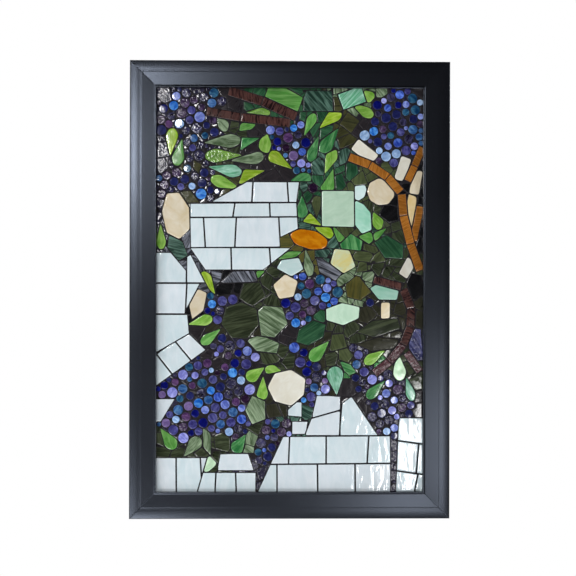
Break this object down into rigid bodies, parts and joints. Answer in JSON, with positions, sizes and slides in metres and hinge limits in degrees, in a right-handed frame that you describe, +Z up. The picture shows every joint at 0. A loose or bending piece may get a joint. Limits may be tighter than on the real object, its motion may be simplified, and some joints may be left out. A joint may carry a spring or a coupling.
{
  "type": "framed glass mosaic wall panel",
  "caption": "Framed glass mosaic wall panel with grape clusters, leaves and vine stems over a pale stone wall, set in dark grout within a black mitred moulding.",
  "frame": {"origin": "centre of the flat back face, where the panel meets the wall", "axes": "+X to the right as seen from the front, +Y from the front into the wall, +Z up along the long side"},
  "size_m": [0.474, 0.022, 0.6772],
  "materials": {
    "satin_black_wood": "satin black paint",
    "back_board": "bare fibre board",
    "grout": "dark charcoal grout, holding the smaller glass",
    "opal_glass": "bluish white opalescent sheet glass",
    "cream_glass": "cream opalescent sheet glass",
    "mint_glass": "mint opalescent sheet glass",
    "orange_glass": "orange opalescent sheet glass"
  },
  "bodies": {
    "root": {"back_board": "back_board", "cream_glass_01": "cream_glass", "cream_glass_02": "cream_glass", "cream_glass_03": "cream_glass", "cream_glass_04": "cream_glass", "cream_glass_05": "cream_glass", "cream_glass_06": "cream_glass", "cream_glass_07": "cream_glass", "cream_glass_08": "cream_glass", "cream_glass_09": "cream_glass", "cream_glass_10": "cream_glass", "cream_glass_11": "cream_glass", "cream_glass_12": "cream_glass", "frame_rail_bottom": "satin_black_wood", "frame_rail_left": "satin_black_wood", "frame_rail_right": "satin_black_wood", "frame_rail_top": "satin_black_wood", "grout_bed": "grout", "mint_glass_01": "mint_glass", "mint_glass_02": "mint_glass", "mint_glass_03": "mint_glass", "mint_glass_04": "mint_glass", "mint_glass_05": "mint_glass", "mint_glass_06": "mint_glass", "orange_glass_01": "orange_glass", "stone_glass_01": "opal_glass", "stone_glass_02": "opal_glass", "stone_glass_03": "opal_glass", "stone_glass_04": "opal_glass", "stone_glass_05": "opal_glass", "stone_glass_06": "opal_glass", "stone_glass_07": "opal_glass", "stone_glass_08": "opal_glass", "stone_glass_09": "opal_glass", "stone_glass_10": "opal_glass", "stone_glass_11": "opal_glass", "stone_glass_12": "opal_glass", "stone_glass_13": "opal_glass", "stone_glass_14": "opal_glass", "stone_glass_15": "opal_glass", "stone_glass_16": "opal_glass", "stone_glass_17": "opal_glass", "stone_glass_18": "opal_glass", "stone_glass_19": "opal_glass", "stone_glass_20": "opal_glass", "stone_glass_21": "opal_glass", "stone_glass_22": "opal_glass", "stone_glass_23": "opal_glass", "stone_glass_24": "opal_glass", "stone_glass_25": "opal_glass", "stone_glass_26": "opal_glass", "stone_glass_27": "opal_glass", "stone_glass_28": "opal_glass", "stone_glass_29": "opal_glass", "stone_glass_30": "opal_glass", "stone_glass_31": "opal_glass", "stone_glass_32": "opal_glass", "stone_glass_33": "opal_glass", "stone_glass_34": "opal_glass", "stone_glass_35": "opal_glass"}
  },
  "joints": []
}
